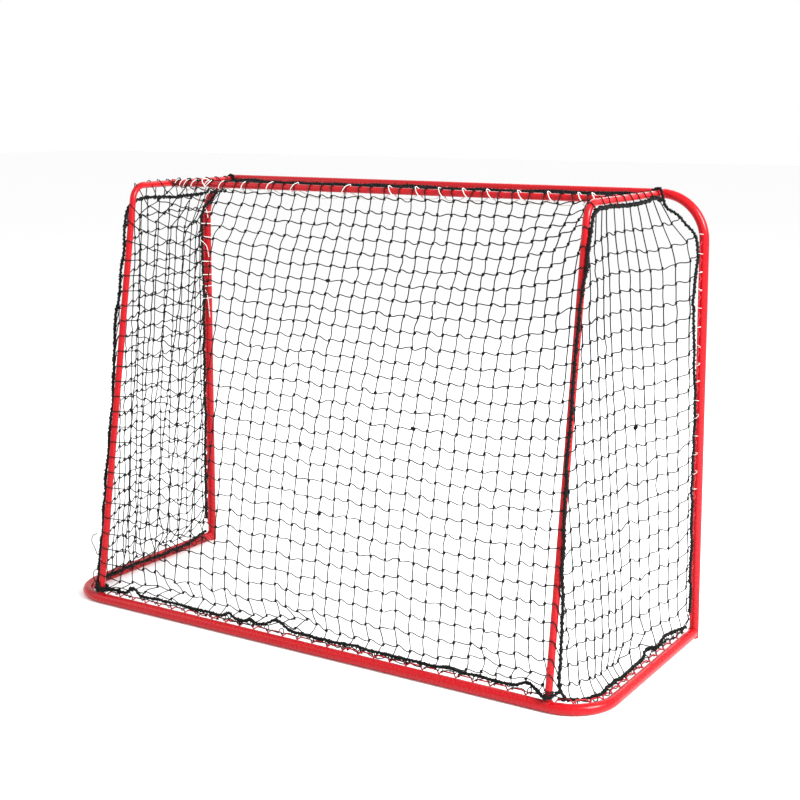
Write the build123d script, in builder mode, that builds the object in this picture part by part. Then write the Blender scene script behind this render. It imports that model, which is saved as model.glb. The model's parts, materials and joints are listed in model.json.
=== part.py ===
"""A hockey goal: welded tube frame, wavy net wire, and a roped net laced to it. Millimetres, +Z up.

The mouth faces -Y and the goal stands on the plane z = 0, with the origin under the middle of its box.
"""

import os
from math import ceil, cos, radians, sin

from build123d import *

os.makedirs("parts", exist_ok=True)

# Mouth and depth
MOUTH_WIDTH = 1600.0  # clear width between the posts
MOUTH_HEIGHT = 1150.0  # clear height from the floor to the crossbar
BASE_DEPTH = 630.0  # mouth plane to the axis of the rear base bar
TOP_DEPTH = 455.0  # mouth plane to where a stay's line would meet the top
REAR_BAR_DEPTH = 290.0  # mouth plane to the axis of the rear top bar

# Tubes
MOUTH_TUBE = 25.0
BASE_TUBE = 27.0
STAY_TUBE = 18.0
WALL = 1.5
MOUTH_RADIUS = 118.0  # bend radii are of the tube's axis
BASE_RADIUS = 115.0
STAY_RADIUS = 45.0
STAY_INSET = 116.0  # stays stand this far in from the posts
PLUG_LENGTH = 14.0
BEAD = 3.0  # leg of a weld bead

# Net wire
WIRE = 3.5
WAVE_PITCH = 48.0
WAVE_HEIGHT = 9.0  # axis of a valley to axis of a crest
WAVE_SINK = 0.3  # a valley bites this far into the tube at its weld
VALLEY_FLANK = 8.0  # length along the tube of one side of a valley
CREST_BEND = 4.0
VALLEY_BEND = 2.5
REAR_WIRE_TILT = 44.0  # degrees above the floor, leaning into the goal
SIDE_WIRE_TILT = 22.0
CROSSBAR_WIRE_TILT = 4.0  # degrees from straight back, leaning into the goal
POST_WIRE_TILT = 5.0

# Net and ropes
NET = 3.0  # thickness of a net panel
SEAM_ROPE = 9.0
BORDER_ROPE = 7.5
LACING = 3.0
SEAM_DROP = {"left": 40.0, "right": 20.0}  # seam rope below the axis of a depth bar
LACED_HEIGHT = {"left": 340.0, "right": 700.0}  # length of post with white cord, from the arc down
LACING_TURN = 45.0  # degrees round a post from straight back, into the mouth
LASHING = {"left": 3.75, "right": 2.0}  # radius of the cord tied round a stay's foot
CORNER_CUT = 88.0  # the mouth's rope leaves a post this far below the crossbar, and cuts the corner
CORNER_RADIUS = 60.0
REAR_CORNER_SLACK = 20.0  # the base's side ropes pass this far inside the line of the rear wire
CLEAR = 1.0  # air between a soft piece and what it lies on

half_width = (MOUTH_WIDTH + MOUTH_TUBE) / 2
crossbar_z = MOUTH_HEIGHT + MOUTH_TUBE / 2
base_z = BASE_TUBE / 2
mouth_y = -(BASE_DEPTH + BASE_TUBE / 2 - MOUTH_TUBE / 2) / 2
rear_y = mouth_y + BASE_DEPTH
stay_x = half_width - STAY_INSET
stay_top_y = mouth_y + TOP_DEPTH
arc_start_z = crossbar_z - MOUTH_RADIUS
bar_y = mouth_y + REAR_BAR_DEPTH
SIDES = {"left": 1, "right": -1}  # the side's name and the sign of its x, seen from behind the goal


def stay_y(height):
    """How far back the axis of a stay is at a height."""
    return rear_y - (height - base_z) * (rear_y - stay_top_y) / (crossbar_z - base_z)


def section(path, radius, bore=0.0):
    """A round section across the start of a path, hollow if it has a bore."""
    with BuildSketch(Plane(origin=path @ 0, z_dir=path % 0)) as face:
        Circle(radius)
        if bore:
            Circle(bore, mode=Mode.SUBTRACT)
    return face.sketch


def bar(path, radius):
    """A solid round bar along a path."""
    with BuildPart() as solid:
        sweep(sections=section(path, radius), path=path)
    return solid.part


def finish(piece, name):
    """Labels a piece and writes it."""
    piece.part.label = name
    export_step(piece.part, f"parts/{name}.step")


# Axes of the tubes
with BuildLine() as mouth_line:
    FilletPolyline(
        (-half_width, mouth_y, 0),
        (-half_width, mouth_y, crossbar_z),
        (half_width, mouth_y, crossbar_z),
        (half_width, mouth_y, 0),
        radius=MOUTH_RADIUS,
    )
mouth_path = mouth_line.wires()[0]

base_end_y = mouth_y + MOUTH_TUBE / 3  # the cut ends reach past the posts' rear faces
with BuildLine() as base_line:
    FilletPolyline(
        (-half_width, base_end_y, base_z),
        (-half_width, rear_y, base_z),
        (half_width, rear_y, base_z),
        (half_width, base_end_y, base_z),
        radius=BASE_RADIUS,
    )
base_path = base_line.wires()[0]

stay_paths = {}
for side, sign in SIDES.items():
    with BuildLine() as stay_line:
        FilletPolyline(
            (sign * stay_x, rear_y, base_z),
            (sign * stay_x, stay_top_y, crossbar_z),
            (sign * stay_x, mouth_y, crossbar_z),
            radius=STAY_RADIUS,
        )
    stay_paths[side] = stay_line.wires()[0]

with BuildLine() as bar_line:
    Line((-stay_x, bar_y, crossbar_z), (stay_x, bar_y, crossbar_z))
bar_path = bar_line.wires()[0]

# Filled shapes of the tubes, for coping the ends that meet them
mouth_shape = bar(mouth_path, MOUTH_TUBE / 2)
base_shape = bar(base_path, BASE_TUBE / 2)
stay_shapes = {side: bar(path, STAY_TUBE / 2) for side, path in stay_paths.items()}

# Mouth frame: two posts and the crossbar, bent from one tube
with BuildPart() as mouth_frame:
    sweep(sections=section(mouth_path, MOUTH_TUBE / 2, MOUTH_TUBE / 2 - WALL), path=mouth_path)
finish(mouth_frame, "mouth_frame")

# Base: rear bar and two sides, bent from one tube and butted on the posts
with BuildPart() as base_tube:
    sweep(sections=section(base_path, BASE_TUBE / 2, BASE_TUBE / 2 - WALL), path=base_path)
    add(mouth_shape, mode=Mode.SUBTRACT)
finish(base_tube, "base_tube")

# Stays: up from the rear of the base and forward to the crossbar
for side, path in stay_paths.items():
    with BuildPart() as stay:
        sweep(sections=section(path, STAY_TUBE / 2, STAY_TUBE / 2 - WALL), path=path)
        add(base_shape, mode=Mode.SUBTRACT)
        add(mouth_shape, mode=Mode.SUBTRACT)
    finish(stay, f"{side}_stay")

# Rear top bar, coped between the level lengths of the stays
with BuildPart() as rear_top_bar:
    sweep(sections=section(bar_path, STAY_TUBE / 2, STAY_TUBE / 2 - WALL), path=bar_path)
    for shape in stay_shapes.values():
        add(shape, mode=Mode.SUBTRACT)
finish(rear_top_bar, "rear_top_bar")

# Plugs flush in the lower ends of the posts
for side, sign in SIDES.items():
    with BuildPart() as foot_plug:
        with BuildSketch(Plane.XY):
            with Locations((sign * half_width, mouth_y)):
                Circle(MOUTH_TUBE / 2 - WALL)
        extrude(amount=PLUG_LENGTH)
    finish(foot_plug, f"{side}_foot_plug")


# Weld beads: where the swollen shapes of two tubes overlap, outside both tubes
def bead(thin_path, thin_tube, thick_path, thick_tube):
    """The ring of weld round the end of a tube that stands on another."""
    with BuildPart() as ring:
        add(bar(thin_path, thin_tube / 2 + BEAD))
        add(bar(thick_path, thick_tube / 2 + BEAD), mode=Mode.INTERSECT)
        add(bar(thin_path, thin_tube / 2), mode=Mode.SUBTRACT)
        add(bar(thick_path, thick_tube / 2), mode=Mode.SUBTRACT)
    return ring.part


def run(start, end):
    """A straight path."""
    with BuildLine() as line:
        Line(start, end)
    return line.wires()[0]


WELD_RUN = 40.0  # how much of each tube a bead is worked out from

with BuildPart() as stay_foot_welds:
    for sign in SIDES.values():
        foot = (sign * stay_x, rear_y, base_z)
        up = (sign * stay_x, stay_y(base_z + WELD_RUN), base_z + WELD_RUN)
        add(bead(run(foot, up), STAY_TUBE, base_path, BASE_TUBE))
finish(stay_foot_welds, "stay_foot_welds")

with BuildPart() as depth_bar_welds:
    for sign in SIDES.values():
        front = (sign * stay_x, mouth_y, crossbar_z)
        back = (sign * stay_x, mouth_y + WELD_RUN, crossbar_z)
        add(bead(run(front, back), STAY_TUBE, mouth_path, MOUTH_TUBE))
finish(depth_bar_welds, "depth_bar_welds")

with BuildPart() as base_end_welds:
    for sign in SIDES.values():
        front = (sign * half_width, base_end_y, base_z)
        back = (sign * half_width, mouth_y + WELD_RUN, base_z)
        post = run((sign * half_width, mouth_y, 0), (sign * half_width, mouth_y, WELD_RUN))
        add(bead(run(front, back), BASE_TUBE, post, MOUTH_TUBE))
    with BuildSketch(Plane.XY):
        Rectangle(3 * half_width, 3 * half_width)
    extrude(amount=WELD_RUN, mode=Mode.INTERSECT)
finish(base_end_welds, "base_end_welds")

with BuildPart() as rear_bar_welds:
    for sign in SIDES.values():
        tip = (sign * stay_x, bar_y, crossbar_z)
        inner = (sign * (stay_x - WELD_RUN), bar_y, crossbar_z)
        front = (sign * stay_x, bar_y - WELD_RUN, crossbar_z)
        back = (sign * stay_x, bar_y + WELD_RUN, crossbar_z)
        add(bead(run(tip, inner), STAY_TUBE, run(front, back), STAY_TUBE))
finish(rear_bar_welds, "rear_bar_welds")


# Net wire: long flat crests joined by short valleys, each valley welded to the tube
def wave(path, radius, start, end, aim):
    """The axis of a wavy wire beside a stretch of a tube's axis.

    aim gives the direction from the tube's axis to the wire's, from the tangent.
    """
    stretch = end - start
    waves = ceil(stretch / WAVE_PITCH)
    pitch = stretch / waves
    low = radius + WIRE / 2 - WAVE_SINK
    high = low + WAVE_HEIGHT
    points, radii = [], []
    for i in range(waves + 1):
        middle = start + i * pitch
        for offset, reach, bend in (
            (-VALLEY_FLANK, high, CREST_BEND),
            (0, low, VALLEY_BEND),
            (VALLEY_FLANK, high, CREST_BEND),
        ):
            at = middle + offset
            if at < start or at > end:
                continue
            along = at / path.length
            points.append(path @ along + aim(path % along) * reach)
            radii.append(bend)
    with BuildLine() as line:
        FilletPolyline(*points, radius=radii[1:-1])
    return line.wires()[0]


def base_aim(tangent):
    """Into the goal from the base tube's axis, and up, by less along the sides than along the rear."""
    tilt = radians(SIDE_WIRE_TILT + (REAR_WIRE_TILT - SIDE_WIRE_TILT) * abs(tangent.X))
    return tangent.cross(Vector(0, 0, 1)) * cos(tilt) + Vector(0, 0, 1) * sin(tilt)


def mouth_aim(tangent):
    """Back from the mouth tube's axis, leaning a little into the mouth."""
    level = abs(tangent.X)
    tilt = radians(POST_WIRE_TILT + (CROSSBAR_WIRE_TILT - POST_WIRE_TILT) * level)
    return tangent.cross(Vector(0, -1, 0)) * sin(tilt) + Vector(0, 1, 0) * cos(tilt)


side_run = base_path.length / 2 - stay_x  # length of the base tube from a post to a stay's foot
foot_gap = STAY_TUBE / 2 + BEAD + WIRE  # wires stop this far from the axis of a stay
base_wires = {
    "right_base_wire": (MOUTH_TUBE, side_run - foot_gap),
    "rear_base_wire": (side_run + foot_gap, base_path.length - side_run - foot_gap),
    "left_base_wire": (base_path.length - side_run + foot_gap, base_path.length - MOUTH_TUBE),
}
for name, (start, end) in base_wires.items():
    axis = wave(base_path, BASE_TUBE / 2, start, end, base_aim)
    with BuildPart() as base_wire:
        sweep(sections=section(axis, WIRE / 2), path=axis)
    finish(base_wire, name)

mouth_length = mouth_path.length
depth_run = mouth_length / 2 - stay_x  # length of the mouth tube from the floor to a depth bar
post_gap = 2 * BASE_TUBE  # the wires on the posts start this far above the floor
mouth_wires = {
    "mouth_right_wire": (post_gap, arc_start_z),
    "mouth_top_wire": (depth_run + foot_gap, mouth_length - depth_run - foot_gap),
    "mouth_left_wire": (mouth_length - arc_start_z, mouth_length - post_gap),
}
for name, (start, end) in mouth_wires.items():
    axis = wave(mouth_path, MOUTH_TUBE / 2, start, end, mouth_aim)
    with BuildPart() as mouth_wire:
        sweep(sections=section(axis, WIRE / 2), path=axis)
    finish(mouth_wire, name)


# Where the ropes lie: on the crests of the net wire
base_reach = BASE_TUBE / 2 + WIRE + WAVE_HEIGHT + BORDER_ROPE / 2 + CLEAR / 2
mouth_reach = MOUTH_TUBE / 2 + WIRE + WAVE_HEIGHT + BORDER_ROPE / 2 + CLEAR / 2
rope_inset = base_reach * cos(radians(REAR_WIRE_TILT))
rope_z = base_z + base_reach * sin(radians(REAR_WIRE_TILT)) + CLEAR
side_inset = base_reach * cos(radians(SIDE_WIRE_TILT))
side_rope_z = base_z + base_reach * sin(radians(SIDE_WIRE_TILT)) + CLEAR
mouth_rope_y = mouth_y + mouth_reach + CLEAR
post_inset = mouth_reach * sin(radians(POST_WIRE_TILT))
top_inset = mouth_reach * sin(radians(CROSSBAR_WIRE_TILT))
post_rope_x = half_width - post_inset
top_rope_z = crossbar_z - top_inset
seam_x = stay_x + STAY_TUBE / 2 + SEAM_ROPE / 2 + CLEAR / 2
lashing_reach = STAY_TUBE / 2 + CLEAR + max(LASHING.values())
rope_stop = lashing_reach + max(LASHING.values()) + 2 * CLEAR  # ropes end this far from a stay's axis
net_floor = rope_z + BORDER_ROPE / 2 + 2 * CLEAR
net_edge = stay_x - STAY_TUBE / 2 - BEAD - CLEAR  # half width of the back and top panels


# Net panels: the space that each knotted panel holds, as a thin closed slab
def slab(start, end):
    """Corners of a strip of net seen from the side, between two (y, z) points on its middle line."""
    length = ((end[0] - start[0]) ** 2 + (end[1] - start[1]) ** 2) ** 0.5
    across = (-(end[1] - start[1]) / length * NET / 2, (end[0] - start[0]) / length * NET / 2)
    return [
        (start[0] + across[0], start[1] + across[1]),
        (end[0] + across[0], end[1] + across[1]),
        (end[0] - across[0], end[1] - across[1]),
        (start[0] - across[0], start[1] - across[1]),
    ]


beside_bar = STAY_TUBE / 2 + CLEAR + NET / 2  # from the axis of the rear top bar to the edge of a panel
back_foot = (rear_y - rope_inset, net_floor)
back_fold = (stay_y(arc_start_z) - rope_inset, arc_start_z)  # above here the back leans in to the bar
back_head = (bar_y + beside_bar, crossbar_z)
top_back = (bar_y - beside_bar, crossbar_z)
top_front = (mouth_rope_y, top_rope_z + BORDER_ROPE / 2 + CLEAR + NET / 2)
for name, course in (("back_net", (back_foot, back_fold, back_head)), ("top_net", (top_back, top_front))):
    with BuildPart() as panel:
        with BuildSketch(Plane.YZ):
            for start, end in zip(course, course[1:]):
                with BuildLine():
                    Polyline(*slab(start, end), close=True)
                make_face()
        extrude(amount=net_edge, both=True)
    finish(panel, name)


BULGES = ((0, 0.75), (30, 0.85), (60, 0.95))  # turn round the base's corner, share of the way back


def side_outline(height, setback, sign):
    """Points of a side panel's plan at a height: from the mouth post back and round to the seam."""
    rise = max(0.0, height - arc_start_z)
    arc = MOUTH_RADIUS - post_inset
    front_x = half_width - MOUTH_RADIUS + (arc**2 - rise**2) ** 0.5
    front = Vector(front_x, mouth_rope_y + BORDER_ROPE / 2 + NET + CLEAR)
    back = Vector(seam_x, stay_y(height) - SEAM_ROPE - CLEAR - setback)
    fullness = 1 - (height - net_floor) / (arc_start_z - net_floor)  # 1 at the floor, 0 at the arc
    corner_radius = BASE_RADIUS - rope_inset
    corner = Vector(front_x - corner_radius, rear_y - BASE_RADIUS)
    outline = [front]
    for turn, share in BULGES:
        bulge = corner + Vector(corner_radius, 0).rotate(Axis.Z, turn)
        straight = front + (back - front) * share
        outline.append(straight + (bulge - straight) * max(0.0, fullness))
    outline.append(back)
    return [Vector(sign * point.X, point.Y) for point in outline]


for side, sign in SIDES.items():
    seam_z = crossbar_z - SEAM_DROP[side]
    inward = Vector(-sign * NET, -NET)
    levels = (
        (net_floor, 0),
        (arc_start_z, 0),
        (seam_z - STAY_RADIUS - SEAM_ROPE, 0),
        (seam_z - SEAM_ROPE / 2 - 2 * CLEAR, STAY_RADIUS),
    )
    outlines = [side_outline(height, setback, sign) for height, setback in levels]
    with BuildPart() as side_net:
        for strip in range(len(outlines[0]) - 1):
            for (height, setback), outline in zip(levels, outlines):
                near, far = outline[strip : strip + 2]
                with BuildSketch(Plane.XY.offset(height)):
                    with BuildLine():
                        Polyline(near, far, far + inward, near + inward, close=True)
                    make_face()
            loft(ruled=True)
    finish(side_net, f"{side}_net")

# Seam ropes: beside the stays and under the depth bars
for side, sign in SIDES.items():
    seam_z = crossbar_z - SEAM_DROP[side]
    with BuildLine() as seam_line:
        FilletPolyline(
            (sign * seam_x, stay_y(2 * rope_z), 2 * rope_z),
            (sign * seam_x, stay_y(seam_z), seam_z),
            (sign * seam_x, mouth_rope_y + BORDER_ROPE, seam_z),
            radius=STAY_RADIUS,
        )
    seam_path = seam_line.wires()[0]
    with BuildPart() as seam_rope:
        sweep(sections=section(seam_path, SEAM_ROPE / 2), path=seam_path)
    finish(seam_rope, f"{side}_seam_rope")


# Border ropes and lacing: they follow the base and the mouth, inset from the tubes' axes
def base_side_path(sign, inset, height):
    """Beside one side of the base and round its rear corner."""
    with BuildLine() as line:
        FilletPolyline(
            (sign * (half_width - inset), mouth_rope_y + BORDER_ROPE, height),
            (sign * (half_width - inset), rear_y - inset - REAR_CORNER_SLACK, height),
            (sign * (stay_x + rope_stop), rear_y - inset - REAR_CORNER_SLACK, height),
            radius=BASE_RADIUS - inset - rope_stop,
        )
    return line.wires()[0]


def round_piece(path, diameter, name):
    """Makes and writes a rope or cord along a path."""
    with BuildPart() as rope:
        sweep(sections=section(path, diameter / 2), path=path)
    finish(rope, name)


rear_rope_end = stay_x - rope_stop
depth_bar_reach = STAY_TUBE / 2 + BORDER_ROPE / 2 + CLEAR  # the mouth's ropes end beside the depth bars


def level_run(reach, y, z):
    """A straight path across the goal, as far to the left as to the right."""
    return run((-reach, y, z), (reach, y, z))


round_piece(level_run(rear_rope_end, rear_y - rope_inset, rope_z), BORDER_ROPE, "rear_border_rope")
top_rope_end = stay_x - depth_bar_reach
round_piece(level_run(top_rope_end, mouth_rope_y, top_rope_z), BORDER_ROPE, "top_mouth_rope")
for side, sign in SIDES.items():
    round_piece(base_side_path(sign, side_inset, side_rope_z), BORDER_ROPE, f"{side}_border_rope")
    with BuildLine() as post_line:
        FilletPolyline(
            (sign * post_rope_x, mouth_rope_y, rope_z + BORDER_ROPE),
            (sign * post_rope_x, mouth_rope_y, crossbar_z - CORNER_CUT),
            (sign * (stay_x + depth_bar_reach), mouth_rope_y, top_rope_z),
            radius=CORNER_RADIUS,
        )
    round_piece(post_line.wires()[0], BORDER_ROPE, f"{side}_mouth_rope")

# White cord that laces the net to the rear top bar and to the posts
lacing_z = crossbar_z - STAY_TUBE / 2 - LACING / 2 - CLEAR
round_piece(level_run(net_edge, bar_y, lacing_z), LACING, "rear_bar_lacing")
lacing_reach = MOUTH_TUBE / 2 + LACING / 2 + CLEAR
lacing_x = half_width - lacing_reach * sin(radians(LACING_TURN))
lacing_y = mouth_y + lacing_reach * cos(radians(LACING_TURN))
for side, sign in SIDES.items():
    top = (sign * lacing_x, lacing_y, arc_start_z)
    bottom = (sign * lacing_x, lacing_y, arc_start_z - LACED_HEIGHT[side])
    round_piece(run(bottom, top), LACING, f"{side}_post_lacing")

# Black cord that ties the rope edge to the base wire, in three lengths
beside_rope = BORDER_ROPE / 2 + LACING / 2 + CLEAR
with BuildPart() as base_lacing:
    rear_tie = level_run(rear_rope_end, rear_y - rope_inset - beside_rope, rope_z)
    sweep(sections=section(rear_tie, LACING / 2), path=rear_tie)
    for sign in SIDES.values():
        side_tie = base_side_path(sign, side_inset + beside_rope, side_rope_z)
        sweep(sections=section(side_tie, LACING / 2), path=side_tie)
finish(base_lacing, "base_lacing")

# Cord tied round the foot of each stay
for side, sign in SIDES.items():
    with BuildPart() as lashing:
        with BuildSketch(Plane.XZ.offset(-stay_y(rope_z))):
            with Locations((sign * stay_x + lashing_reach, rope_z)):
                Circle(LASHING[side])
        revolve(axis=Axis((sign * stay_x, stay_y(rope_z), 0), (0, 0, 1)), revolution_arc=360)
    finish(lashing, f"{side}_foot_lashing")
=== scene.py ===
"""Finishes the hockey goal: paint on the welded frame, and the knotted net, ropes and lacing on it."""

import json
import math

import bpy
import numpy as np
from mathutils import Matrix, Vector


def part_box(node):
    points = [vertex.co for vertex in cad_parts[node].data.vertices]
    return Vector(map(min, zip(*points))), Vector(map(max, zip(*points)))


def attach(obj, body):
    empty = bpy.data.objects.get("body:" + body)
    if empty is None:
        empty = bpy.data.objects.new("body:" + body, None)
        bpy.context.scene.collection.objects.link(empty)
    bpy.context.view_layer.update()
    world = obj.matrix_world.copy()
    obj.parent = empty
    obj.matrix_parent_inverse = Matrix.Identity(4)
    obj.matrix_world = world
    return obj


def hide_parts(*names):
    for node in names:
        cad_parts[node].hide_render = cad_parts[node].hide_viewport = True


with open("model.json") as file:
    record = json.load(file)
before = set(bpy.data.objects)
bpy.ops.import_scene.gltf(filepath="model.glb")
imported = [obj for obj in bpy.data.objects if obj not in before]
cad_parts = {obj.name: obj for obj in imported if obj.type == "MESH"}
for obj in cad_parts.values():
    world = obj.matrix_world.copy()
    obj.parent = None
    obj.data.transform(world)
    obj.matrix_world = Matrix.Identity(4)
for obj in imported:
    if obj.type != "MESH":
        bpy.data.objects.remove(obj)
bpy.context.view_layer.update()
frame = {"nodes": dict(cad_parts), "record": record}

BODY = "root"
rng = np.random.default_rng(11)


# ---- places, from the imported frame
def middle_and_half(node):
    """The middle of a node's box and half its size, as arrays."""
    low, high = (np.array(corner, float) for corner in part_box(node))
    return (low + high) / 2, (high - low) / 2


mouth_mid, mouth_half = middle_and_half("mouth_frame")
base_mid, base_half = middle_and_half("base_tube")
bar_mid = middle_and_half("rear_top_bar")[0]
stay_mid, stay_half = middle_and_half("left_stay")

MOUTH_R, BASE_R, STAY_R = mouth_half[1], base_half[2], stay_half[0]
HALF_WIDTH = mouth_half[0] - MOUTH_R
MOUTH_Y = mouth_mid[1]
CROSSBAR_Z = 2 * mouth_half[2] - MOUTH_R
REAR_Y = base_mid[1] + base_half[1] - BASE_R
STAY_X = stay_mid[0]
BAR_Y, BAR_Z = bar_mid[1], bar_mid[2]
TOP_DEPTH = 0.455  # from the mouth plane to where a stay's straight line would reach the crossbar's height
STAY_BEND = 0.045  # radius of the bend at a stay's top
STAY_TOP_Y = MOUTH_Y + TOP_DEPTH
SIDES = {"left": 1, "right": -1}  # the sign of x, seen from behind


def stay_y(z):
    """How far back the axis of a stay is at a height."""
    return REAR_Y - (z - BASE_R) * (REAR_Y - STAY_TOP_Y) / (CROSSBAR_Z - BASE_R)


rear_rope_mid, rear_rope_half = middle_and_half("rear_border_rope")
mouth_rope_mid, mouth_rope_half = middle_and_half("left_mouth_rope")
side_rope_mid, side_rope_half = middle_and_half("left_border_rope")
ROPE_R = rear_rope_half[2]
SEAM_R = middle_and_half("left_seam_rope")[1][0]
ROPE_Y, ROPE_Z = rear_rope_mid[1], rear_rope_mid[2]
SIDE_ROPE_X = side_rope_mid[0] + side_rope_half[0] - ROPE_R
SIDE_ROPE_Z = side_rope_mid[2]
BASE_BEND = 0.115  # radius of the base tube's axis at a rear corner
MOUTH_ROPE_Y = mouth_rope_mid[1]
POST_ROPE_X = mouth_rope_mid[0] + mouth_rope_half[0] - ROPE_R
TOP_ROPE_Z = middle_and_half("top_mouth_rope")[0][2]
SEAM_X = middle_and_half("left_seam_rope")[0][0]
SEAM_Z = {side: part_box(f"{side}_seam_rope")[1][2] - SEAM_R for side in SIDES}

MESH = 0.0422  # side of one opening of the back and top panels
SIDE_MESH = 0.0475  # of the side panels, which are pulled wider
GATHERED = 0.030  # spacing of the columns that are bunched beside a stay
TWINE_R = 0.00145
TIE_R = 0.0012
LACE_R = 0.0014


# ---- mesh building
class Shape:
    """Collects vertices and faces of one piece."""

    def __init__(self):
        self.points, self.faces, self.count = [], [], 0

    def add(self, points, faces):
        self.points.append(points)
        self.faces.extend((np.asarray(faces) + self.count).tolist())
        self.count += len(points)

    def object(self, name, material, nodes, slot):
        """Makes the piece, rides it on the frame and hides the CAD nodes it stands for."""
        mesh = bpy.data.meshes.new(name)
        mesh.from_pydata(np.concatenate(self.points).tolist(), [], self.faces)
        mesh.shade_smooth()
        piece = bpy.data.objects.new(name, mesh)
        bpy.context.collection.objects.link(piece)
        mesh.materials.append(material)
        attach(piece, BODY)
        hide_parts(*nodes)
        return piece


def unit(vectors):
    return vectors / np.maximum(np.linalg.norm(vectors, axis=-1, keepdims=True), 1e-12)


def tubes(shape, paths, radius, sides=6, closed=False):
    """Adds round tubes along paths, an array of lines by points by xyz. radius may vary along them."""
    paths = np.asarray(paths, float)
    if paths.ndim == 2:
        paths = paths[None]
    lines, length = paths.shape[:2]
    if closed:
        tangents = np.roll(paths, -1, axis=1) - np.roll(paths, 1, axis=1)
    else:
        tangents = np.gradient(paths, axis=1)
    tangents = unit(tangents)
    spare = np.where(np.abs(tangents[:, :1, 2:]) < 0.9, [[[0, 0, 1.0]]], [[[1.0, 0, 0]]])
    across = unit(np.cross(tangents[:, 0], spare[:, 0]))
    frames = np.empty((lines, length, 3))
    for step in range(length):
        t = tangents[:, step]
        across = unit(across - (across * t).sum(1, keepdims=True) * t)
        frames[:, step] = across
    others = np.cross(tangents, frames)
    turns = np.arange(sides) * 2 * math.pi / sides
    reach = np.broadcast_to(np.asarray(radius, float), (lines, length))[:, :, None, None]
    ring = (
        frames[:, :, None] * np.cos(turns)[:, None] + others[:, :, None] * np.sin(turns)[:, None]
    )
    points = (paths[:, :, None] + ring * reach).reshape(-1, 3)
    steps = length if closed else length - 1
    line, step, side = np.meshgrid(np.arange(lines), np.arange(steps), np.arange(sides), indexing="ij")
    near = (line * length + step) * sides
    far = (line * length + (step + 1) % length) * sides
    turn = (side + 1) % sides
    quads = np.stack([near + side, far + side, far + turn, near + turn], axis=-1).reshape(-1, 4)
    shape.add(points, quads)
    if not closed:
        ends = np.arange(lines)[:, None] * length * sides
        first = ends + np.arange(sides)
        last = ends + (length - 1) * sides + np.arange(sides)[::-1]
        shape.faces.extend((np.concatenate([first, last]) + shape.count - len(points)).tolist())


def line_length(line):
    return np.linalg.norm(np.diff(line, axis=0), axis=1).sum()


def lengths_along(line):
    """How far along a line each of its points is."""
    return np.concatenate([[0], np.cumsum(np.linalg.norm(np.diff(line, axis=0), axis=1))])


def at_length(values, along, length):
    """A row of values, one column at a time, at a length between those in along."""
    return np.array([np.interp(length, along, column) for column in values.T])


def closest(line, place):
    """The point of a line that is nearest to a place."""
    return line[np.argmin(np.linalg.norm(line - place, axis=1))]


def even(line, count):
    """Points at even distances along a line."""
    line = np.asarray(line, float)
    along = lengths_along(line)
    at = np.linspace(0, along[-1], count)
    return np.stack([np.interp(at, along, line[:, k]) for k in range(3)], axis=1)


def smooth(points, count):
    """A rounded line through points, by the Catmull-Rom rule, with evenly spaced samples."""
    points = np.asarray(points, float)
    before = 2 * points[0] - points[1]
    after = 2 * points[-1] - points[-2]
    p = np.concatenate([[before], points, [after]])
    t = np.linspace(0, 1, 9)[:-1, None]
    parts = []
    for a, b, c, d in zip(p[:-3], p[1:-2], p[2:-1], p[3:]):
        parts.append(
            0.5
            * (2 * b + (c - a) * t + (2 * a - 5 * b + 4 * c - d) * t**2 + (3 * b - a - 3 * c + d) * t**3)
        )
    return even(np.concatenate([*parts, points[-1:]]), count)


def wander(count, size, step=9, seed=0):
    """Smooth random offsets of about that size, one row per point, from a seed."""
    source = np.random.default_rng(seed)
    marks = max(3, count // step + 2)
    rough = source.normal(0, size, (marks, 3))
    return smooth(np.c_[np.linspace(0, 1, marks), rough[:, 0], rough[:, 1]], count)[:, 1:]


# ---- materials
def material(name):
    """A new material with its Principled shader and a helper that adds nodes."""
    made = bpy.data.materials.new(name)
    made.use_nodes = True
    tree = made.node_tree
    shader = tree.nodes["Principled BSDF"]

    def node(kind, **values):
        new = tree.nodes.new(kind)
        for key, value in values.items():
            if key in new.inputs:
                new.inputs[key].default_value = value
            else:
                setattr(new, key, value)
        return new

    return made, tree, shader, node


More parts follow.
